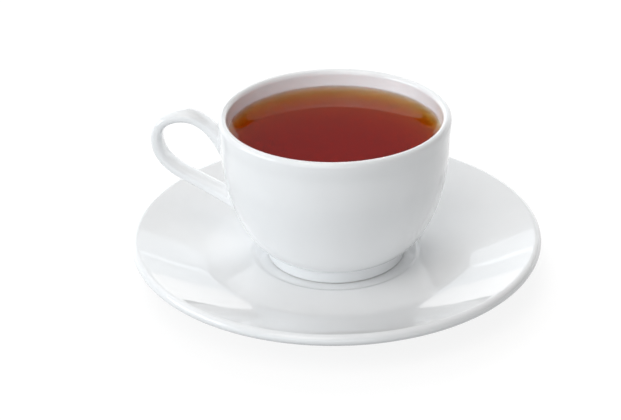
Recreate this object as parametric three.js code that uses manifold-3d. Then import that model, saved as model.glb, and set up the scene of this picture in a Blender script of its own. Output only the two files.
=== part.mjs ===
// A cup of black tea on its saucer.
// It stands on z = 0 with its axis on Z, and the handle points along -X. Sizes are in millimetres.

import * as THREE from "three";
import { mergeVertices } from "three/addons/utils/BufferGeometryUtils.js";
import Module from "manifold-3d";

const wasm = await Module();
wasm.setup();

// Saucer: a flat ring round the well for the cup, then a flank that bends up and grows steeper to the
// rounded rim, with a foot ring below
const SAUCER_RADIUS = 75;
const SAUCER_HEIGHT = 15.6;
const SAUCER_RIM_THICKNESS = 3.8;
const SAUCER_RIM_FROM = THREE.MathUtils.degToRad(-62);
const SAUCER_RIM_SLOPE = THREE.MathUtils.degToRad(21.9);
const SAUCER_FLANK_SLOPE = THREE.MathUtils.degToRad(16.2);
const SAUCER_FLANK_RADIUS = 51.8;
const SAUCER_FLAT_RADIUS = 44.4;
const SAUCER_FLANK_PULL = 0.36;
const SAUCER_BEND_PULL = 0.4;
const SAUCER_FOOT_RADIUS = 43.5;
const SAUCER_FOOT_WIDTH = 4;
const SAUCER_FOOT_HEIGHT = 2.6;
const SAUCER_UNDERSIDE_RADIUS = 45.2;
const SAUCER_UNDERSIDE_HEIGHT = 3.3;
const SAUCER_UNDERSIDE_SLOPE = 0.15;
const SAUCER_UNDERSIDE_PULL = 9;
const WELL_HEIGHT = 6.5;
const WELL_RADIUS = 28.5;
const WELL_STEP_RADIUS = 32;
const WELL_STEP_HEIGHT = 0.73;

// Cup: a round bowl that turns upright, with a rounded lip and a foot ring; heights are above its foot
const CUP_HEIGHT = 55.3;
const CUP_RADIUS = 41;
const CUP_WALL = 3;
const CUP_STRAIGHT_FROM = 46;
const CUP_LIP_RADIUS = 41.4;
const CUP_LIP_INNER_RADIUS = 38.3;
const CUP_LIP_ROUND = 1.7;
const CUP_FOOT_RADIUS = 25.5;
const CUP_FOOT_WIDTH = 3.2;
const CUP_FOOT_RECESS = 3;
const BOWL_START_HEIGHT = 4.65;
const BOWL_LOW_PULL = { radius: 32.7, height: 7.9 };
const BOWL_HIGH_PULL = 23.1;
const CUP_FLOOR_HEIGHT = 7.6;
const CUP_FLOOR_RADIUS = 14;
const INSIDE_LOW_PULL = 29;
const INSIDE_HIGH_PULL = 20;
const FOOT_ROUND = 0.7;

// Handle: an ear-shaped strap in the XZ plane; it leaves the wall upwards and comes back on a slant
const UPPER_ROOT = { radius: 36.1, height: 28.4 };
const UPPER_ROOT_PULL = { radius: 41, height: 45.3 };
const HANDLE_TOP = { radius: 54.5, height: 51.7 };
const HANDLE_TOP_PULL = 6.9;
const HANDLE_END = { radius: 65.2, height: 42.2 };
const HANDLE_END_PULL = 5.6;
const SLANT_START = { radius: 56.5, height: 29.4 };
const SLANT_START_PULL = { radius: 61.5, height: 32.2 };
const LOWER_ROOT = { radius: 30.4, height: 15.2 };
const STRAP_THICKNESS = 4;
const STRAP_WIDTH = 8;
const STRAP_SQUARENESS = 2.8;
const ROOT_FLARE = 0.55;
const ROOT_FLARE_LENGTH = 0.2;

// Tea: up to its level in the cup, drawn up a little where it meets the wall
const TEA_LEVEL = 49.3;
const TEA_CLEARANCE = 0.3;
const MENISCUS_RISE = 0.7;
const MENISCUS_REACH = 2.2;

// Facets
const ROUND_SEGMENTS = 48;
const FIRST_SEGMENT = Math.PI / ROUND_SEGMENTS;
const CURVE_STEPS = 6;
const HANDLE_RINGS = 30;
const STRAP_SIDES = 14;

const PORCELAIN = { color: 0xf1f1f0, roughness: 0.12, metalness: 0 };
const BLACK_TEA = { color: 0x6b2418, roughness: 0.05, metalness: 0 };

// A closed geometry as a solid that can be joined and cut
function toSolid(geometry) {
  const bare = geometry.clone();
  bare.deleteAttribute("normal");
  bare.deleteAttribute("uv");
  const merged = mergeVertices(bare);
  const corners = merged.index.array;
  const triangles = [];
  for (let i = 0; i < corners.length; i += 3) {
    const [a, b, c] = corners.slice(i, i + 3);
    if (a !== b && b !== c && c !== a) {
      triangles.push(a, b, c);
    }
  }
  return new wasm.Manifold(new wasm.Mesh({
    numProp: 3,
    vertProperties: new Float32Array(merged.attributes.position.array),
    triVerts: new Uint32Array(triangles),
  }));
}

// The solid's vertices and triangles as a geometry
function toGeometry(solid) {
  const mesh = solid.getMesh();
  const geometry = new THREE.BufferGeometry();
  geometry.setAttribute("position", new THREE.BufferAttribute(mesh.vertProperties, 3));
  geometry.setIndex(new THREE.BufferAttribute(mesh.triVerts, 1));
  geometry.computeVertexNormals();
  return geometry;
}

// A profile of radius and height turned about Z; it runs from the axis, underside first, to the axis
function turned(points) {
  const geometry = new THREE.LatheGeometry(points, ROUND_SEGMENTS, FIRST_SEGMENT);
  return geometry.rotateX(Math.PI / 2);
}

function footRing(path, outerRadius, width, recess) {
  const innerRadius = outerRadius - width;
  path.moveTo(0, recess);
  path.lineTo(innerRadius - FOOT_ROUND, recess);
  path.lineTo(innerRadius, FOOT_ROUND);
  path.lineTo(innerRadius + FOOT_ROUND, 0);
  path.lineTo(outerRadius - FOOT_ROUND, 0);
  path.lineTo(outerRadius, FOOT_ROUND);
}

function saucerGeometry() {
  const round = SAUCER_RIM_THICKNESS / 2;
  const rim = new THREE.Vector2(SAUCER_RADIUS - round, SAUCER_HEIGHT - round);
  const underX = rim.x + round * Math.cos(SAUCER_RIM_FROM);
  const underY = rim.y + round * Math.sin(SAUCER_RIM_FROM);
  const rimTo = Math.PI / 2 + SAUCER_RIM_SLOPE;
  const flankEndX = rim.x + round * Math.cos(rimTo);
  const flankEndY = rim.y + round * Math.sin(rimTo);
  const underPullX = underX + SAUCER_UNDERSIDE_PULL * Math.sin(SAUCER_RIM_FROM);
  const underPullY = underY - SAUCER_UNDERSIDE_PULL * Math.cos(SAUCER_RIM_FROM);
  const rimSlope = Math.tan(SAUCER_RIM_SLOPE);
  const flankSlope = Math.tan(SAUCER_FLANK_SLOPE);
  const flankWidth = flankEndX - SAUCER_FLANK_RADIUS;
  const flankY = flankEndY - (flankWidth * (rimSlope + flankSlope)) / 2;
  const flankPull = SAUCER_FLANK_PULL * flankWidth;
  const bendPull = SAUCER_BEND_PULL * (SAUCER_FLANK_RADIUS - SAUCER_FLAT_RADIUS);
  const stepY = WELL_HEIGHT + WELL_STEP_HEIGHT;
  const stepMiddle = (WELL_RADIUS + WELL_STEP_RADIUS) / 2;

  const path = new THREE.Path();
  footRing(path, SAUCER_FOOT_RADIUS, SAUCER_FOOT_WIDTH, SAUCER_FOOT_HEIGHT);
  path.lineTo(SAUCER_UNDERSIDE_RADIUS, SAUCER_UNDERSIDE_HEIGHT);
  path.bezierCurveTo(
    SAUCER_UNDERSIDE_RADIUS + SAUCER_UNDERSIDE_PULL,
    SAUCER_UNDERSIDE_HEIGHT + SAUCER_UNDERSIDE_PULL * SAUCER_UNDERSIDE_SLOPE,
    underPullX, underPullY, underX, underY,
  );
  path.absarc(rim.x, rim.y, round, SAUCER_RIM_FROM, rimTo, false);
  path.bezierCurveTo(
    flankEndX - flankPull, flankEndY - flankPull * rimSlope,
    SAUCER_FLANK_RADIUS + flankPull, flankY + flankPull * flankSlope,
    SAUCER_FLANK_RADIUS, flankY,
  );
  path.bezierCurveTo(
    SAUCER_FLANK_RADIUS - bendPull, flankY - bendPull * flankSlope,
    SAUCER_FLAT_RADIUS + bendPull, stepY, SAUCER_FLAT_RADIUS, stepY,
  );
  path.lineTo(WELL_STEP_RADIUS, stepY);
  path.bezierCurveTo(stepMiddle, stepY, stepMiddle, WELL_HEIGHT, WELL_RADIUS, WELL_HEIGHT);
  path.lineTo(0, WELL_HEIGHT);
  return turned(path.getPoints(CURVE_STEPS));
}

// The inside of the bowl from a height on its upright wall down to the middle of the floor
function bowlInside(path, inset) {
  const radius = CUP_RADIUS - CUP_WALL - inset;
  const floor = CUP_FLOOR_HEIGHT + inset;
  path.lineTo(radius, CUP_STRAIGHT_FROM);
  path.bezierCurveTo(radius, INSIDE_HIGH_PULL, INSIDE_LOW_PULL, floor, CUP_FLOOR_RADIUS, floor);
  path.lineTo(0, floor);
}

// The outside of the bowl, from the top of the foot ring to the start of the lip
function bowlOutside(path) {
  const lipStart = CUP_HEIGHT - CUP_LIP_ROUND;
  const lipPull = (lipStart - CUP_STRAIGHT_FROM) / 2;
  path.lineTo(CUP_FOOT_RADIUS, BOWL_START_HEIGHT);
  path.bezierCurveTo(
    BOWL_LOW_PULL.radius, BOWL_LOW_PULL.height,
    CUP_RADIUS, BOWL_HIGH_PULL, CUP_RADIUS, CUP_STRAIGHT_FROM,
  );
  path.bezierCurveTo(
    CUP_RADIUS, CUP_STRAIGHT_FROM + lipPull,
    CUP_LIP_RADIUS, lipStart - lipPull, CUP_LIP_RADIUS, lipStart,
  );
}

function bowlGeometry() {
  const lipStart = CUP_HEIGHT - CUP_LIP_ROUND;
  const lipMiddle = (CUP_LIP_RADIUS + CUP_LIP_INNER_RADIUS) / 2;
  const path = new THREE.Path();
  footRing(path, CUP_FOOT_RADIUS, CUP_FOOT_WIDTH, CUP_FOOT_RECESS);
  bowlOutside(path);
  path.absellipse(lipMiddle, lipStart, CUP_LIP_RADIUS - lipMiddle, CUP_LIP_ROUND, 0, Math.PI, false, 0);
  bowlInside(path, 0);
  return turned(path.getPoints(CURVE_STEPS));
}

// The space that the handle stays out of: the bowl's hollow and the inner half of its wall
function bowlCoreGeometry() {
  const path = new THREE.Path();
  path.moveTo(0, CUP_HEIGHT);
  path.lineTo(CUP_RADIUS - CUP_WALL / 2, CUP_HEIGHT);
  bowlInside(path, -CUP_WALL / 2);
  return turned(path.getPoints(CURVE_STEPS).reverse());
}

function handleCurve() {
  const at = (radius, height) => new THREE.Vector3(-radius, 0, height);
  const upperRoot = at(UPPER_ROOT.radius, UPPER_ROOT.height);
  const top = at(HANDLE_TOP.radius, HANDLE_TOP.height);
  const end = at(HANDLE_END.radius, HANDLE_END.height);
  const slant = at(SLANT_START.radius, SLANT_START.height);
  const lowerRoot = at(LOWER_ROOT.radius, LOWER_ROOT.height);
  const curve = new THREE.CurvePath();
  curve.add(new THREE.CubicBezierCurve3(
    upperRoot, at(UPPER_ROOT_PULL.radius, UPPER_ROOT_PULL.height),
    at(HANDLE_TOP.radius - HANDLE_TOP_PULL, HANDLE_TOP.height), top,
  ));
  curve.add(new THREE.CubicBezierCurve3(
    top, at(HANDLE_TOP.radius + HANDLE_TOP_PULL, HANDLE_TOP.height),
    at(HANDLE_END.radius, HANDLE_END.height + HANDLE_END_PULL), end,
  ));
  curve.add(new THREE.CubicBezierCurve3(
    end, at(HANDLE_END.radius, HANDLE_END.height - HANDLE_END_PULL),
    at(SLANT_START_PULL.radius, SLANT_START_PULL.height), slant,
  ));
  curve.add(new THREE.LineCurve3(slant, lowerRoot));
  return curve;
}

// How much wider and thicker the strap is at a share of its length, growing towards its two roots
function strapFlare(share) {
  const fromRoot = Math.min(share, 1 - share) / ROOT_FLARE_LENGTH;
  return 1 + ROOT_FLARE * Math.max(0, 1 - fromRoot) ** 2;
}

// A strap of rounded section along the handle's curve, closed at both ends
function handleGeometry() {
  const curve = handleCurve();
  const across = new THREE.Vector3(0, 1, 0);
  const positions = [];
  const triangles = [];
  const bulge = (value) => Math.sign(value) * Math.abs(value) ** (2 / STRAP_SQUARENESS);
  for (let ring = 0; ring <= HANDLE_RINGS; ring += 1) {
    const share = ring / HANDLE_RINGS;
    const centre = curve.getPointAt(share);
    const outwards = curve.getTangentAt(share).cross(across);
    const flare = strapFlare(share);
    for (let side = 0; side < STRAP_SIDES; side += 1) {
      const angle = (2 * Math.PI * side) / STRAP_SIDES;
      const point = centre.clone()
        .addScaledVector(outwards, (bulge(Math.cos(angle)) * flare * STRAP_THICKNESS) / 2)
        .addScaledVector(across, (bulge(Math.sin(angle)) * flare * STRAP_WIDTH) / 2);
      positions.push(point.x, point.y, point.z);
    }
  }
  for (let ring = 0; ring < HANDLE_RINGS; ring += 1) {
    for (let side = 0; side < STRAP_SIDES; side += 1) {
      const here = ring * STRAP_SIDES + side;
      const beside = ring * STRAP_SIDES + ((side + 1) % STRAP_SIDES);
      triangles.push(here, beside + STRAP_SIDES, beside);
      triangles.push(here, here + STRAP_SIDES, beside + STRAP_SIDES);
    }
  }
  const last = HANDLE_RINGS * STRAP_SIDES;
  for (let side = 1; side < STRAP_SIDES - 1; side += 1) {
    triangles.push(0, side, side + 1);
    triangles.push(last, last + side + 1, last + side);
  }
  const geometry = new THREE.BufferGeometry();
  geometry.setAttribute("position", new THREE.Float32BufferAttribute(positions, 3));
  geometry.setIndex(triangles);
  return geometry;
}

// Bowl and handle are one piece of porcelain
function cupGeometry() {
  const handle = toSolid(handleGeometry()).subtract(toSolid(bowlCoreGeometry()));
  return toGeometry(toSolid(bowlGeometry()).add(handle));
}

function teaGeometry() {
  const radius = CUP_RADIUS - CUP_WALL - TEA_CLEARANCE;
  const flat = radius - MENISCUS_REACH;
  const path = new THREE.Path();
  path.moveTo(0, TEA_LEVEL);
  path.lineTo(flat, TEA_LEVEL);
  path.quadraticCurveTo(radius - MENISCUS_RISE, TEA_LEVEL, radius, TEA_LEVEL + MENISCUS_RISE);
  bowlInside(path, TEA_CLEARANCE);
  return turned(path.getPoints(CURVE_STEPS).reverse());
}

function piece(name, geometry, finish) {
  const mesh = new THREE.Mesh(geometry, new THREE.MeshStandardMaterial(finish));
  mesh.name = name;
  return mesh;
}

// The filled cup stands in the middle of the saucer's well
const filledCup = new THREE.Group();
filledCup.position.z = WELL_HEIGHT;
filledCup.add(piece("cup", cupGeometry(), PORCELAIN));
filledCup.add(piece("tea", teaGeometry(), BLACK_TEA));

const cupOfTea = new THREE.Group();
cupOfTea.add(piece("saucer", saucerGeometry(), PORCELAIN));
cupOfTea.add(filledCup);

export default cupOfTea;
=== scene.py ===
import math

import bmesh
import bpy
import numpy as np
from mathutils import Matrix, Vector
from mathutils.geometry import delaunay_2d_cdt


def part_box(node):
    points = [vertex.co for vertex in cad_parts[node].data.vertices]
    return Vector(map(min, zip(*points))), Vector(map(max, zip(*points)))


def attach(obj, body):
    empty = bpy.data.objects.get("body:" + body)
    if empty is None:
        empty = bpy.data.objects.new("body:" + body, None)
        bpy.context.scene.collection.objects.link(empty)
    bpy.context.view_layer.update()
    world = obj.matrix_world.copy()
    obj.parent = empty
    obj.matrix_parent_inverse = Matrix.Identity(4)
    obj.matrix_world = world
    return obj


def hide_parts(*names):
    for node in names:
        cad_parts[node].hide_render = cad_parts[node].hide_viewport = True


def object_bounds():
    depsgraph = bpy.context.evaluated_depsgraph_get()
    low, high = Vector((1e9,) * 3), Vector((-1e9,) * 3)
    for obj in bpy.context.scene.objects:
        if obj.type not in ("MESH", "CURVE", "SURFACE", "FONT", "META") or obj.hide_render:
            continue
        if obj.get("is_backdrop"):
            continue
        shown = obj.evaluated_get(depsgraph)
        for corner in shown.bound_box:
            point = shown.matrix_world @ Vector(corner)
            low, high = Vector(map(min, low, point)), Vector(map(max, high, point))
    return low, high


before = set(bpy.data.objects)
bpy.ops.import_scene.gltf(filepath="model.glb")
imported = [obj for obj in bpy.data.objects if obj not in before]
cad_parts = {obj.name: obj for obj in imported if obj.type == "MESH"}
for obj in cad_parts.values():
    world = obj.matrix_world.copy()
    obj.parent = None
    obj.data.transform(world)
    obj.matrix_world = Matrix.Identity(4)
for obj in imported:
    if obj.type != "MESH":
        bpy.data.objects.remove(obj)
cad_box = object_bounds()

# A cup of black tea on its saucer, both of glazed white porcelain.
# Sizes are in millimetres and become metres when a mesh is made. The saucer stands on z = 0, the axis
# of cup and saucer is Z, and the handle points along -X. Heights on the cup are above its own foot.
MM = 0.001

# Saucer
SAUCER_RADIUS = 75.0
SAUCER_HEIGHT = 15.6
SAUCER_RIM_THICKNESS = 3.8
SAUCER_RIM_FROM = -62.0
SAUCER_RIM_SLOPE = 21.9
SAUCER_FLANK_SLOPE = 16.2
SAUCER_FLANK_RADIUS = 51.8
SAUCER_FLAT_RADIUS = 44.4
SAUCER_FLANK_PULL = 0.36
SAUCER_BEND_PULL = 0.4
SAUCER_FOOT_RADIUS = 43.5
SAUCER_FOOT_WIDTH = 4.0
SAUCER_FOOT_RECESS = 2.6
SAUCER_UNDERSIDE = (45.2, 3.3)
SAUCER_UNDERSIDE_SLOPE = 0.15
SAUCER_UNDERSIDE_PULL = 9.0
SAUCER_UNDERSIDE_BEND = 1.2
WELL_RADIUS = 28.5
WELL_STEP_RADIUS = 32.0
WELL_STEP_HEIGHT = 0.73

# Cup
CUP_HEIGHT = 55.3
CUP_RADIUS = 41.0
CUP_WALL = 3.0
CUP_STRAIGHT_FROM = 46.0
CUP_LIP_RADIUS = 41.4
CUP_LIP_INNER_RADIUS = 38.3
CUP_LIP_ROUND = 1.7
CUP_FOOT_RADIUS = 25.5
CUP_FOOT_WIDTH = 3.2
CUP_FOOT_RECESS = 3.0
BOWL_START = (25.5, 4.65)
BOWL_LOW_PULL = (32.7, 7.9)
BOWL_HIGH_PULL = (41.0, 23.1)
BOWL_CORNER = 1.4
CUP_FLOOR_HEIGHT = 7.6
CUP_FLOOR_RADIUS = 14.0
INSIDE_LOW_PULL = 29.0
INSIDE_HIGH_PULL = 20.0
FOOT_ROUND = 0.9
FOOT_CORNER = 1.2

# Handle: its middle line as points of radius and height, then the strap's section
UPPER_ROOT = (36.1, 28.4)
UPPER_ROOT_PULL = (41.0, 45.3)
HANDLE_TOP = (54.5, 51.7)
HANDLE_TOP_PULL = 6.9
HANDLE_END = (65.2, 42.2)
HANDLE_END_PULL = 5.6
SLANT_START = (56.5, 29.4)
SLANT_START_PULL = (61.5, 32.2)
LOWER_ROOT = (30.4, 15.2)
STRAP_THICKNESS = 4.0
STRAP_WIDTH = 8.0
STRAP_SQUARENESS = 2.8
ROOT_FLARE = 0.45
ROOT_FLARE_LENGTH = 25.0
FILLET_ON_STRAP = 3.2
FILLET_ON_WALL = 2.6
FILLET_FULLNESS = 0.6

# Tea
TEA_LEVEL = 47.5
TEA_INTO_WALL = 0.25
MENISCUS_RISE = 1.8
MENISCUS_REACH = 2.7

# Looks: how white the porcelain is dry, and how white it is under the tea, where it is whiter than dry
# porcelain with painted light that stands in for light lost through the tea's surface, the share of the
# glaze's reflection that is left under the tea, how high its bumps are, and the tea's absorption per
# metre, which is the density times what the colour lacks
GLAZE_WHITE = 0.87
GLAZE_WHITE_WITH_PAINTED_LIGHT_UNDER_TEA = 0.94
GLOSS_UNDER_TEA = 0.09
BUMP_HEIGHT = 0.1
TEA_COLOUR = (0.966, 0.760, 0.010, 1.0)
TEA_DENSITY = 200.0

# Finishes by their place among a piece's materials, and which faces get them: how far a normal leans up
# or down, and the height of a foot's bare edge
GLAZED = 0
BARE = 1
UNDER_TEA = 2
FACES_DOWN = -0.6
FACES_UP = 0.7
BARE_EDGE_HEIGHT = 0.5

# Fineness of the meshes. The tea's rings are even in the middle and get closer together from a share of
# its radius on, until the last gap, which is a share too.
SEGMENTS = 240
STRAP_SIDES = 56
STRAP_RINGS = 110
FILLET_RINGS = 9
TEA_MIDDLE_RINGS = 12
TEA_EDGE_RINGS = 36
TEA_EDGE_FROM = 0.6
TEA_LAST_GAP = 1e-3
CURVE_SAMPLES = 2000
SAME_POINT = 1e-6

# Joining the handle to the wall: the share of the strap in which a root is looked for, a small step to
# find a direction, the half width in columns and the margins of the patch of wall that is filled with
# triangles, and the part of a column's width by which the patch's points stay clear of a root
ROOT_SEARCH = 0.35
SMALL_STEP = 0.1
HANDLE_COLUMNS = 10
PATCH_MARGIN_BELOW = 2.6
PATCH_MARGIN_ABOVE = 0.65
CLEAR_OF_ROOT = 0.7
SAME_SPOT = 1e-9

# Camera, as the photograph was taken: looking down, with the handle at the left and turned a little away
PHOTO_WIDTH = 621
CAMERA_AZIMUTH = 9.0
CAMERA_ELEVATION = 28.09
CAMERA_ROLL = -1.18
CAMERA_DISTANCE = 550.0
CAMERA_AIM_ACROSS = -9.2
CAMERA_AIM_HEIGHT = 23.01
CAMERA_FOCAL_PIXELS = 1502.5
SENSOR_WIDTH_MM = 36.0

# Light: soft panels on a sphere round the object, all in metres. Each has a name, its azimuth from the
# camera's side, positive to the right, its elevation, its width and height, its radiance, its colour,
# and whether the glaze mirrors it. Then how bright the room is for the object and for the camera.
LIGHT_DISTANCE = 1.5
WARM_WHITE = (1.0, 0.94, 0.89)
PLAIN_WHITE = (1.0, 1.0, 1.0)
COOL_WHITE = (0.88, 0.95, 1.0)
LIGHTS = (
    ("main", -28.0, 60.0, 0.70, 1.09, 2.1, WARM_WHITE, True),
    ("front_low", -12.0, 15.0, 1.67, 0.53, 2.3, COOL_WHITE, True),
    ("left", -64.0, 18.0, 0.77, 0.42, 1.9, COOL_WHITE, True),
    ("far_left", -80.0, 20.0, 1.03, 0.53, 4.4, COOL_WHITE, True),
    ("behind_low", 180.0, 7.0, 5.16, 0.24, 1.5, PLAIN_WHITE, True),
    ("behind", 180.0, 15.5, 5.01, 0.21, 1.15, COOL_WHITE, True),
    ("behind_upper", 180.0, 24.0, 4.75, 0.24, 0.28, COOL_WHITE, True),
    ("behind_upper_left", -160.0, 22.2, 0.75, 0.20, 1.0, COOL_WHITE, True),
    ("behind_upper_right", 160.0, 22.6, 0.75, 0.22, 0.7, COOL_WHITE, True),
    ("behind_high", 180.0, 50.0, 1.11, 0.80, 1.6, WARM_WHITE, False),
    ("behind_left", -165.0, 40.0, 1.33, 0.64, 2.8, COOL_WHITE, False),
)
ROOM_WHITE = 0.42
BACKDROP_WHITE = 1.0

# Floor: half its size in metres, then how white its two sheets are and how much the upper one glows
FLOOR_HALF_SIZE = 6.0
FLOOR_LIT_WHITE = 0.2
FLOOR_SEEN_WHITE = 0.2
FLOOR_SEEN_GLOW = 0.84


# Outlines of radius and height


def cubic(start, pull_a, pull_b, end, share):
    """The point at a share of the curve that leaves start towards pull_a and comes to end from pull_b."""
    rest = 1.0 - share
    return rest**3 * start + 3 * rest**2 * share * pull_a + 3 * rest * share**2 * pull_b + share**3 * end


def bezier(start, pull_a, pull_b, end, steps):
    shares = np.linspace(0.0, 1.0, steps + 1)[:, None]
    corners = (np.asarray(point, float) for point in (start, pull_a, pull_b, end))
    return cubic(*corners, shares)


def arc(centre, radii, first, last, steps):
    angles = np.radians(np.linspace(first, last, steps + 1))
    return np.column_stack((centre[0] + radii[0] * np.cos(angles), centre[1] + radii[1] * np.sin(angles)))


def straight(start, end, steps):
    return np.linspace(start, end, steps + 1)


def joined(*stretches):
    points = np.vstack(stretches)
    apart = np.linalg.norm(np.diff(points, axis=0), axis=1) > SAME_POINT
    return points[np.concatenate(([True], apart))]


def foot_ring(radius, width, recess):
    """From the middle of the underside down round the foot ring and up to its outer side."""
    inner = radius - width
    corner = (inner - FOOT_CORNER, recess - FOOT_CORNER)
    return joined(
        straight((0.0, recess), (corner[0], recess), steps=10),
        arc(corner, (FOOT_CORNER, FOOT_CORNER), 90, 0, steps=8),
        arc((inner + FOOT_ROUND, FOOT_ROUND), (FOOT_ROUND, FOOT_ROUND), 180, 270, steps=8),
        arc((radius - FOOT_ROUND, FOOT_ROUND), (FOOT_ROUND, FOOT_ROUND), 270, 360, steps=8),
    )


def saucer_rim():
    """The round rim, from its underside over its outer edge to where the flank starts."""
    half = SAUCER_RIM_THICKNESS / 2
    middle = (SAUCER_RADIUS - half, SAUCER_HEIGHT - half)
    return arc(middle, (half, half), SAUCER_RIM_FROM, 90 + SAUCER_RIM_SLOPE, steps=40)


def saucer_underside(rim_start):
    """From the middle of the underside round the foot ring and out to the rim."""
    ring = foot_ring(SAUCER_FOOT_RADIUS, SAUCER_FOOT_WIDTH, SAUCER_FOOT_RECESS)
    ring_pull = ring[-1] + (0.0, SAUCER_UNDERSIDE_BEND)
    under = np.array(SAUCER_UNDERSIDE)
    slope = np.array((1.0, SAUCER_UNDERSIDE_SLOPE))
    first = math.radians(SAUCER_RIM_FROM)
    rim_pull = rim_start + SAUCER_UNDERSIDE_PULL * np.array((math.sin(first), -math.cos(first)))
    return joined(
        ring,
        bezier(ring[-1], ring_pull, under - SAUCER_UNDERSIDE_BEND * slope, under, steps=10),
        bezier(under, under + SAUCER_UNDERSIDE_PULL * slope, rim_pull, rim_start, steps=30),
    )


def saucer_top(rim_end, well_height):
    """From the rim down the flank and the soft step to the middle of the well."""
    rim_slope = np.array((1.0, math.tan(math.radians(SAUCER_RIM_SLOPE))))
    flank_slope = np.array((1.0, math.tan(math.radians(SAUCER_FLANK_SLOPE))))
    width = rim_end[0] - SAUCER_FLANK_RADIUS
    pull = SAUCER_FLANK_PULL * width
    flank_foot = rim_end - width * (rim_slope + flank_slope) / 2
    bend_pull = SAUCER_BEND_PULL * (SAUCER_FLANK_RADIUS - SAUCER_FLAT_RADIUS)
    bend_start = flank_foot - bend_pull * flank_slope
    step_height = well_height + WELL_STEP_HEIGHT
    flat_end = np.array((SAUCER_FLAT_RADIUS, step_height))
    step = (WELL_STEP_RADIUS, step_height)
    halfway = (WELL_STEP_RADIUS + WELL_RADIUS) / 2
    well_edge = (WELL_RADIUS, well_height)
    return joined(
        bezier(rim_end, rim_end - pull * rim_slope, flank_foot + pull * flank_slope, flank_foot, steps=40),
        bezier(flank_foot, bend_start, flat_end + (bend_pull, 0.0), flat_end, steps=20),
        straight(flat_end, step, steps=10),
        bezier(step, (halfway, step_height), (halfway, well_height), well_edge, steps=16),
        straight(well_edge, (0.0, well_height), steps=16),
    )


def saucer_outline(well_height):
    rim = saucer_rim()
    return joined(saucer_underside(rim[0]), rim, saucer_top(rim[-1], well_height))


def bowl_outside(steps):
    """The wall's outer side, from the foot ring up to the lip."""
    lip_start = CUP_HEIGHT - CUP_LIP_ROUND
    pull = (lip_start - CUP_STRAIGHT_FROM) / 2
    return joined(
        bezier(BOWL_START, BOWL_LOW_PULL, BOWL_HIGH_PULL, (CUP_RADIUS, CUP_STRAIGHT_FROM), steps),
        bezier(
            (CUP_RADIUS, CUP_STRAIGHT_FROM), (CUP_RADIUS, CUP_STRAIGHT_FROM + pull),
            (CUP_LIP_RADIUS, lip_start - pull), (CUP_LIP_RADIUS, lip_start), steps // 4,
        ),
    )


def bowl_inside(inset, steps):
    """The hollow, from its upright wall down to the middle of the floor, drawn in by inset."""
    radius = CUP_RADIUS - CUP_WALL - inset
    floor = CUP_FLOOR_HEIGHT + inset
    return joined(
        bezier(
            (radius, CUP_STRAIGHT_FROM), (radius, INSIDE_HIGH_PULL),
            (INSIDE_LOW_PULL, floor), (CUP_FLOOR_RADIUS, floor), steps,
        ),
        straight((CUP_FLOOR_RADIUS, floor), (0.0, floor), steps=10),
    )


def cup_outline():
    """The bowl's outline, and the range of its points that are the outer wall."""
    ring = foot_ring(CUP_FOOT_RADIUS, CUP_FOOT_WIDTH, CUP_FOOT_RECESS)
    outside = bowl_outside(steps=56)
    clear = outside[np.linalg.norm(outside - BOWL_START, axis=1) > BOWL_CORNER]
    below = np.array(BOWL_START) - (0, BOWL_CORNER)
    corner = bezier(below, BOWL_START, BOWL_START, clear[0], steps=10)
    lip_start = CUP_HEIGHT - CUP_LIP_ROUND
    lip_middle = (CUP_LIP_RADIUS + CUP_LIP_INNER_RADIUS) / 2
    lip = arc((lip_middle, lip_start), (CUP_LIP_RADIUS - lip_middle, CUP_LIP_ROUND), 0, 180, steps=28)
    inner_wall = np.array((CUP_RADIUS - CUP_WALL, CUP_STRAIGHT_FROM))
    ease = (0.0, (lip_start - CUP_STRAIGHT_FROM) / 2)
    inner_lip = bezier(lip[-1], lip[-1] - ease, inner_wall + ease, inner_wall, steps=12)
    before = joined(ring, corner)
    wall = range(len(before) - 1, len(before) - 1 + len(clear))
    return joined(before, clear, lip, inner_lip, bowl_inside(0.0, steps=48)), wall


def tea_outline():
    """From the middle of the tea's surface out to the wall and down it to the middle of the floor."""
    side = bowl_inside(-TEA_INTO_WALL, steps=48)
    middle = np.linspace(0.0, TEA_EDGE_FROM, TEA_MIDDLE_RINGS)
    edge = 1.0 - np.geomspace(1.0 - TEA_EDGE_FROM, TEA_LAST_GAP, TEA_EDGE_RINGS)
    out = side[0][0] * np.concatenate((middle, edge, [1.0]))
    wall_radius = CUP_RADIUS - CUP_WALL
    rise = MENISCUS_RISE * np.exp((out - wall_radius) / MENISCUS_REACH)
    surface = np.column_stack((out, TEA_LEVEL + rise))
    return joined(surface, straight(surface[-1], side[0], steps=3), side)


# Meshes


def turned(outline, skipped=lambda row, column: False):
    """The outline turned about Z: points, faces, and the index of the point at a row and a column."""
    angles = 2 * math.pi * np.arange(SEGMENTS) / SEGMENTS
    on_axis = outline[:, 0] < SAME_POINT
    points = []
    starts = []
    for (radius, height), single in zip(outline, on_axis):
        starts.append(len(points))
        if single:
            points.append((0.0, 0.0, height))
        else:
            points.extend(zip(radius * np.cos(angles), radius * np.sin(angles), np.full(SEGMENTS, height)))

    def index(row, column):
        return starts[row] if on_axis[row] else starts[row] + column % SEGMENTS

    faces = []
    for row in range(len(outline) - 1):
        for column in range(SEGMENTS):
            if skipped(row, column):
                continue
            this_row = (index(row, column), index(row, column + 1))
            next_row = (index(row + 1, column + 1), index(row + 1, column))
            faces.append(tuple(dict.fromkeys(this_row + next_row)))
    return points, faces, index


def unit(vectors):
    return vectors / np.linalg.norm(vectors, axis=1)[:, None]


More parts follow.
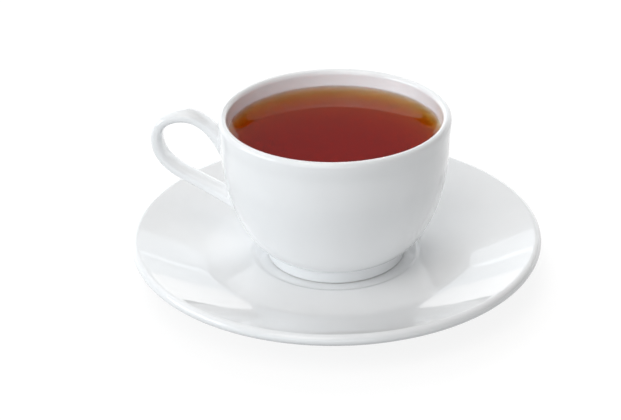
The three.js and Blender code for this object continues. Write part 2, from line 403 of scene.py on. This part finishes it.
def handle_line():
    """The handle's middle line as points of x and z at even distances, and those distances."""
    top = np.array(HANDLE_TOP)
    end = np.array(HANDLE_END)
    samples = CURVE_SAMPLES
    line = joined(
        bezier(UPPER_ROOT, UPPER_ROOT_PULL, top - (HANDLE_TOP_PULL, 0), top, samples),
        bezier(top, top + (HANDLE_TOP_PULL, 0), end + (0, HANDLE_END_PULL), end, samples),
        bezier(end, end - (0, HANDLE_END_PULL), SLANT_START_PULL, SLANT_START, samples),
        straight(SLANT_START, LOWER_ROOT, samples),
    )
    line[:, 0] *= -1
    along = np.concatenate(([0.0], np.cumsum(np.linalg.norm(np.diff(line, axis=0), axis=1))))
    even = np.linspace(0.0, along[-1], 2 * samples)
    return np.column_stack([np.interp(even, along, line[:, axis]) for axis in (0, 1)]), even


class Strap:
    """The handle's strap: a point of its skin for a distance along it and an angle round its section."""

    def __init__(self):
        self.line, self.along = handle_line()
        self.length = self.along[-1]
        self.heading = unit(np.gradient(self.line, self.along, axis=0))

    def skin(self, distance, angle):
        distance = np.asarray(distance, float)
        x, z = (np.interp(distance, self.along, self.line[:, axis]) for axis in (0, 1))
        ahead_x, ahead_z = (np.interp(distance, self.along, self.heading[:, axis]) for axis in (0, 1))
        near_root = np.maximum(0.0, 1.0 - np.minimum(distance, self.length - distance) / ROOT_FLARE_LENGTH)
        flare = 1.0 + ROOT_FLARE * near_root**2
        power = 2 / STRAP_SQUARENESS
        bulge = [np.sign(side) * np.abs(side) ** power for side in (np.cos(angle), np.sin(angle))]
        thick = flare * bulge[0] * STRAP_THICKNESS / 2
        wide = flare * bulge[1] * STRAP_WIDTH / 2
        return np.stack((x - thick * ahead_z, wide, z + thick * ahead_x), axis=-1)

    def ring(self, distances, angles):
        return np.array([self.skin(distance, angle) for distance, angle in zip(distances, angles)])


class Wall:
    """The bowl's outer side as a flat sheet: the arc at the full radius across, and the height up."""

    def __init__(self):
        self.outline = bowl_outside(CURVE_SAMPLES)

    def radius(self, height):
        return np.interp(height, self.outline[:, 1], self.outline[:, 0])

    def outside(self, points):
        return np.hypot(points[..., 0], points[..., 1]) - self.radius(points[..., 2])

    def flat(self, points):
        turn = np.arctan2(-points[..., 1], -points[..., 0])
        return np.stack((turn * CUP_RADIUS, points[..., 2]), axis=-1)

    def round(self, flat):
        turn = math.pi + flat[..., 0] / CUP_RADIUS
        radius = self.radius(flat[..., 1])
        return np.stack((radius * np.cos(turn), radius * np.sin(turn), flat[..., 1]), axis=-1)


def widened(loop, amount):
    """A closed loop on the flat sheet, moved outwards by amount."""
    ahead = np.roll(loop, -1, axis=0) - np.roll(loop, 1, axis=0)
    outwards = unit(np.column_stack((ahead[:, 1], -ahead[:, 0])))
    if np.sum((loop - loop.mean(axis=0)) * outwards) < 0:
        outwards = -outwards
    return loop + amount * outwards


def strap_root(strap, wall, angles, from_start):
    """The fillet where the strap meets the wall.

    It gives the distances along the strap where the fillet starts, its rings of points from there to the
    wall, and the last ring as a loop on the flat sheet.
    """
    reach = np.linspace(0.0, ROOT_SEARCH * strap.length, CURVE_SAMPLES)
    distances = reach if from_start else strap.length - reach
    sign = 1.0 if from_start else -1.0
    meets = []
    for angle in angles:
        clear = wall.outside(strap.skin(distances, angle)) > 0
        last_inside = np.nonzero(~clear)[0].max()
        meets.append(distances[last_inside])
    meets = np.array(meets)
    crossing = wall.flat(strap.ring(meets, angles))
    leave = meets + sign * FILLET_ON_STRAP
    on_strap = strap.ring(leave, angles)
    towards_wall = unit(on_strap - strap.ring(leave + sign * SMALL_STEP, angles))
    loop = widened(crossing, FILLET_ON_WALL)
    on_wall = wall.round(loop)
    inwards = unit(wall.round(widened(crossing, FILLET_ON_WALL - SMALL_STEP)) - on_wall)
    pull_strap = on_strap + FILLET_FULLNESS * FILLET_ON_STRAP * towards_wall
    pull_wall = on_wall + FILLET_FULLNESS * FILLET_ON_WALL * inwards
    shares = np.linspace(0.0, 1.0, FILLET_RINGS + 1)[1:]
    rings = [cubic(on_strap, pull_strap, pull_wall, on_wall, share) for share in shares]
    return leave, rings, loop


def inside_loop(point, loop):
    x, y = point
    following = np.roll(loop, -1, axis=0)
    spans = (loop[:, 1] > y) != (following[:, 1] > y)
    starts = loop[spans]
    ends = following[spans]
    shares = (y - starts[:, 1]) / (ends[:, 1] - starts[:, 1])
    crossings = starts[:, 0] + shares * (ends[:, 0] - starts[:, 0])
    return np.count_nonzero(crossings > x) % 2 == 1


def tube_faces(first, ring_count):
    """The faces of a tube whose rings of points start at the index first."""
    faces = []
    for ring in range(ring_count - 1):
        start = first + ring * STRAP_SIDES
        for side in range(STRAP_SIDES):
            here = start + side
            beside = start + (side + 1) % STRAP_SIDES
            faces.append((here, beside, beside + STRAP_SIDES, here + STRAP_SIDES))
    return faces


def wall_patch(rows, columns, heights, index, loops, loop_starts):
    """Triangles that fill the wall's rows and columns round the handle's two roots.

    The roots are loops on the flat sheet, whose points start at the indices loop_starts.
    """
    flat = []
    owners = []
    edges = []
    for loop, start in zip(loops, loop_starts):
        base = len(flat)
        flat.extend(map(tuple, loop))
        owners.extend(range(start, start + STRAP_SIDES))
        edges.extend((base + side, base + (side + 1) % STRAP_SIDES) for side in range(STRAP_SIDES))
    root_spots = np.vstack(loops)
    arc_step = 2 * math.pi / SEGMENTS * CUP_RADIUS
    end_rows = (rows[0], rows[-1])
    end_columns = (columns[0], columns[-1])
    grid = {}
    for row in rows:
        for column in columns:
            spot = ((column - SEGMENTS // 2) * arc_step, heights[row])
            border = row in end_rows or column in end_columns
            near = np.min(np.linalg.norm(root_spots - spot, axis=1)) < CLEAR_OF_ROOT * arc_step
            covered = any(inside_loop(spot, loop) for loop in loops)
            if border or not (near or covered):
                grid[row, column] = len(flat)
                flat.append(spot)
                owners.append(index(row, column))
    for column in columns[:-1]:
        edges.extend((grid[row, column], grid[row, column + 1]) for row in end_rows)
    for row in rows[:-1]:
        edges.extend((grid[row, column], grid[row + 1, column]) for column in end_columns)
    corners = [Vector(spot) for spot in flat]
    whole_hull = 0
    spots, _, triangles, sources, _, _ = delaunay_2d_cdt(corners, edges, [], whole_hull, SAME_SPOT)
    faces = []
    for triangle in triangles:
        middle = sum((spots[corner] for corner in triangle), Vector((0, 0))) / 3
        if not any(inside_loop(middle, loop) for loop in loops):
            faces.append(tuple(owners[sources[corner][0]] for corner in triangle))
    return faces


def cup_mesh():
    """Bowl, handle and foot as one closed skin: the handle's roots run smoothly into the wall."""
    outline, wall_rows = cup_outline()
    heights = outline[:, 1]
    wall = Wall()
    strap = Strap()
    angles = 2 * math.pi * np.arange(STRAP_SIDES) / STRAP_SIDES
    upper_leave, upper_rings, upper_loop = strap_root(strap, wall, angles, from_start=True)
    lower_leave, lower_rings, lower_loop = strap_root(strap, wall, angles, from_start=False)

    lowest = lower_loop[:, 1].min() - PATCH_MARGIN_BELOW
    highest = upper_loop[:, 1].max() + PATCH_MARGIN_ABOVE
    low_row = max(row for row in wall_rows if heights[row] < lowest)
    high_row = min(row for row in wall_rows if heights[row] > highest)
    rows = range(low_row, high_row + 1)
    columns = range(SEGMENTS // 2 - HANDLE_COLUMNS, SEGMENTS // 2 + HANDLE_COLUMNS + 1)

    def under_handle(row, column):
        return row in rows[:-1] and column in columns[:-1]

    points, faces, index = turned(outline, under_handle)
    rings = upper_rings[::-1]
    for share in np.linspace(0.0, 1.0, STRAP_RINGS + 1):
        rings.append(strap.ring(upper_leave + share * (lower_leave - upper_leave), angles))
    rings.extend(lower_rings)
    first = len(points)
    last = first + (len(rings) - 1) * STRAP_SIDES
    for ring in rings:
        points.extend(map(tuple, ring))
    faces.extend(tube_faces(first, len(rings)))
    faces.extend(wall_patch(rows, columns, heights, index, (upper_loop, lower_loop), (first, last)))
    return points, faces


def piece(name, node, points, faces, lift, materials, choose=None):
    """A smooth mesh that stands for a CAD node and rides with it."""
    mesh = bpy.data.meshes.new(name)
    scaled = [(x * MM, y * MM, (z + lift) * MM) for x, y, z in points]
    mesh.from_pydata(scaled, [], faces)
    shape = bmesh.new()
    shape.from_mesh(mesh)
    bmesh.ops.recalc_face_normals(shape, faces=shape.faces)
    open_edges = sum(1 for edge in shape.edges if len(edge.link_faces) != 2)
    if open_edges:
        raise ValueError(f"{name} has {open_edges} edges without two faces")
    for face in shape.faces:
        face.smooth = True
        if choose:
            face.material_index = choose(face.calc_center_median(), face.normal)
    shape.to_mesh(mesh)
    shape.free()
    obj = bpy.data.objects.new(name, mesh)
    bpy.context.scene.collection.objects.link(obj)
    for material in materials:
        mesh.materials.append(material)
    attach(obj, "root")
    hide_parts(node)
    return obj


# Materials


def principled(name):
    """A new material, its nodes, its links and its shader."""
    material = bpy.data.materials.new(name)
    material.use_nodes = True
    nodes = material.node_tree.nodes
    return material, nodes, material.node_tree.links, nodes["Principled BSDF"]


def noise(nodes, links, scale, detail):
    place = nodes.new("ShaderNodeTexCoord")
    texture = nodes.new("ShaderNodeTexNoise")
    texture.inputs["Scale"].default_value = scale
    texture.inputs["Detail"].default_value = detail
    links.new(place.outputs["Object"], texture.inputs["Vector"])
    return texture.outputs["Fac"]


def ramp(nodes, links, source, low, high, low_colour, high_colour):
    node = nodes.new("ShaderNodeValToRGB")
    node.color_ramp.elements[0].position = low
    node.color_ramp.elements[0].color = low_colour
    node.color_ramp.elements[1].position = high
    node.color_ramp.elements[1].color = high_colour
    links.new(source, node.inputs["Fac"])
    return node.outputs["Color"]


def bumps(nodes, links, source, strength):
    node = nodes.new("ShaderNodeBump")
    node.inputs["Strength"].default_value = strength
    node.inputs["Distance"].default_value = BUMP_HEIGHT * MM
    links.new(source, node.inputs["Height"])
    return node.outputs["Normal"]


def glazed_porcelain(name, gloss, white):
    """Porcelain under a clear glaze, for a share of the glaze's reflection and a whiteness of the body,
    which under the tea holds painted light.
    """
    material, nodes, links, shader = principled(name)
    body = ramp(
        nodes, links, noise(nodes, links, scale=90.0, detail=3.0), low=0.3, high=0.7,
        low_colour=(0.97 * white, 0.975 * white, 0.98 * white, 1.0),
        high_colour=(0.99 * white, 0.995 * white, white, 1.0),
    )
    links.new(body, shader.inputs["Base Color"])
    shader.inputs["Roughness"].default_value = 0.35
    shader.inputs["Specular IOR Level"].default_value = 0.25 * gloss
    shader.inputs["Coat Weight"].default_value = gloss
    shader.inputs["Coat Roughness"].default_value = 0.03
    shader.inputs["Coat IOR"].default_value = 1.5
    waves = bumps(nodes, links, noise(nodes, links, scale=70.0, detail=1.0), strength=0.25)
    links.new(waves, shader.inputs["Normal"])
    links.new(waves, shader.inputs["Coat Normal"])
    return material


def bare_porcelain():
    material, nodes, links, shader = principled("bare_porcelain")
    body = ramp(
        nodes, links, noise(nodes, links, scale=1500.0, detail=4.0), low=0.35, high=0.65,
        low_colour=(0.60, 0.585, 0.555, 1.0), high_colour=(0.72, 0.705, 0.68, 1.0),
    )
    links.new(body, shader.inputs["Base Color"])
    shader.inputs["Roughness"].default_value = 0.8
    grain = bumps(nodes, links, noise(nodes, links, scale=2500.0, detail=2.0), strength=0.4)
    links.new(grain, shader.inputs["Normal"])
    return material


def black_tea():
    material, nodes, links, shader = principled("black_tea")
    shader.inputs["Base Color"].default_value = (1.0, 1.0, 1.0, 1.0)
    shader.inputs["Roughness"].default_value = 0.0
    shader.inputs["IOR"].default_value = 1.333
    shader.inputs["Transmission Weight"].default_value = 1.0
    depth = nodes.new("ShaderNodeVolumeAbsorption")
    depth.inputs["Color"].default_value = TEA_COLOUR
    depth.inputs["Density"].default_value = TEA_DENSITY
    links.new(depth.outputs["Volume"], nodes["Material Output"].inputs["Volume"])
    return material


def floor_paint(name, white, glow):
    material, _, _, shader = principled(name)
    shader.inputs["Base Color"].default_value = (white, white, white, 1.0)
    shader.inputs["Roughness"].default_value = 0.9
    shader.inputs["Specular IOR Level"].default_value = 0.0
    shader.inputs["Emission Color"].default_value = (1.0, 1.0, 1.0, 1.0)
    shader.inputs["Emission Strength"].default_value = glow
    return material


# The object

glaze = glazed_porcelain("glazed_porcelain", gloss=1.0, white=GLAZE_WHITE)
# The glaze under the tea is whiter than the dry glaze: painted light that stands in for light lost through
# the tea's surface.
painted_light_glaze_under_tea = glazed_porcelain("glaze_with_painted_light_under_tea", gloss=GLOSS_UNDER_TEA, white=GLAZE_WHITE_WITH_PAINTED_LIGHT_UNDER_TEA)
bare = bare_porcelain()
tea_material = black_tea()
well_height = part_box("cup")[0][2] / MM


def under_foot(centre, normal, base):
    return normal.z < FACES_DOWN and centre.z < (base + BARE_EDGE_HEIGHT) * MM


# Faces under the tea, which get the glaze whitened with painted light.
def under_tea(centre, normal):
    height = centre.z / MM - well_height
    inside = math.hypot(centre.x, centre.y) < (CUP_RADIUS - CUP_WALL / 2) * MM
    faces_tea = normal.z > FACES_UP or normal.x * centre.x + normal.y * centre.y < 0
    return inside and faces_tea and CUP_FLOOR_HEIGHT / 2 < height < TEA_LEVEL + MENISCUS_RISE


def saucer_finish(centre, normal):
    return BARE if under_foot(centre, normal, 0.0) else GLAZED


def cup_finish(centre, normal):
    if under_tea(centre, normal):
        return UNDER_TEA
    return BARE if under_foot(centre, normal, well_height) else GLAZED


points, faces, _ = turned(saucer_outline(well_height))
saucer = piece("saucer_glazed", "saucer", points, faces, 0.0, (glaze, bare), saucer_finish)

points, faces = cup_mesh()
cup = piece("cup_glazed", "cup", points, faces, well_height, (glaze, bare, painted_light_glaze_under_tea), cup_finish)

points, faces, _ = turned(tea_outline())
tea = piece("tea_filled", "tea", points, faces, well_height, (tea_material,))

# Floor, camera and light


def add_floor(name, material):
    size = FLOOR_HALF_SIZE
    corners = [(-size, -size, 0), (size, -size, 0), (size, size, 0), (-size, size, 0)]
    mesh = bpy.data.meshes.new(name)
    mesh.from_pydata(corners, [], [(0, 1, 2, 3)])
    mesh.materials.append(material)
    floor = bpy.data.objects.new(name, mesh)
    bpy.context.scene.collection.objects.link(floor)
    floor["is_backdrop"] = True
    return floor


def add_floors():
    """The floor that is seen and mirrored glows, so it is white with a faint shadow.

    The one just below it is darker and gives the object the little light that comes up from a floor.
    """
    seen = add_floor("floor_seen", floor_paint("floor_seen", FLOOR_SEEN_WHITE, FLOOR_SEEN_GLOW))
    seen.visible_diffuse = False
    seen.visible_transmission = False
    seen.visible_shadow = False
    lit = add_floor("floor_lit", floor_paint("floor_lit", FLOOR_LIT_WHITE, 0.0))
    lit.location.z = -MM
    lit.visible_camera = False
    lit.visible_glossy = False


def direction(azimuth, elevation):
    """Unit vector from the object to a place: azimuth 0 is in front, along -Y, and 90 is to the right."""
    turn = math.radians(azimuth)
    lift = math.radians(elevation)
    return Vector((math.sin(turn) * math.cos(lift), -math.cos(turn) * math.cos(lift), math.sin(lift)))


def add_camera():
    back = direction(CAMERA_AZIMUTH, CAMERA_ELEVATION)
    right = Vector((0, 0, 1)).cross(back).normalized()
    up = back.cross(right)
    aim = right * CAMERA_AIM_ACROSS * MM + Vector((0, 0, CAMERA_AIM_HEIGHT * MM))
    roll = math.radians(CAMERA_ROLL)
    across = right * math.cos(roll) + up * math.sin(roll)
    above = up * math.cos(roll) - right * math.sin(roll)
    data = bpy.data.cameras.new("camera")
    data.sensor_width = SENSOR_WIDTH_MM
    data.lens = SENSOR_WIDTH_MM * CAMERA_FOCAL_PIXELS / PHOTO_WIDTH
    camera = bpy.data.objects.new("camera", data)
    place = aim + back * CAMERA_DISTANCE * MM
    camera.matrix_world = Matrix.Translation(place) @ Matrix((across, above, back)).transposed().to_4x4()
    bpy.context.scene.collection.objects.link(camera)
    bpy.context.scene.camera = camera


def add_light(name, azimuth, elevation, width, height, radiance, colour, mirrored):
    data = bpy.data.lights.new(name, "AREA")
    data.shape = "RECTANGLE"
    data.size = width
    data.size_y = height
    data.energy = radiance * math.pi * width * height
    data.color = colour
    lamp = bpy.data.objects.new(name, data)
    towards = direction(CAMERA_AZIMUTH + azimuth, elevation)
    lamp.location = towards * LIGHT_DISTANCE
    lamp.rotation_euler = towards.to_track_quat("Z", "Y").to_euler()
    lamp.visible_camera = False
    lamp.visible_glossy = mirrored
    bpy.context.scene.collection.objects.link(lamp)


def add_room():
    """Even light from all round, which the glaze doesn't mirror, and a white backdrop for the camera."""
    room = bpy.data.worlds.new("room")
    bpy.context.scene.world = room
    room.use_nodes = True
    nodes = room.node_tree.nodes
    links = room.node_tree.links
    nodes["Background"].inputs["Color"].default_value = (1.0, 1.0, 1.0, 1.0)
    rays = nodes.new("ShaderNodeLightPath")
    strength = nodes.new("ShaderNodeMapRange")
    strength.inputs["To Min"].default_value = ROOM_WHITE
    strength.inputs["To Max"].default_value = BACKDROP_WHITE
    links.new(rays.outputs["Is Camera Ray"], strength.inputs["Value"])
    links.new(strength.outputs["Result"], nodes["Background"].inputs["Strength"])
    room.cycles_visibility.glossy = False


add_floors()
add_camera()
for light in LIGHTS:
    add_light(*light)
add_room()

bpy.context.scene.view_settings.view_transform = "Standard"

boxes = {"cad": cad_box, "visual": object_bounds()}
{name: [list(map(float, corner)) for corner in box] for name, box in boxes.items()}
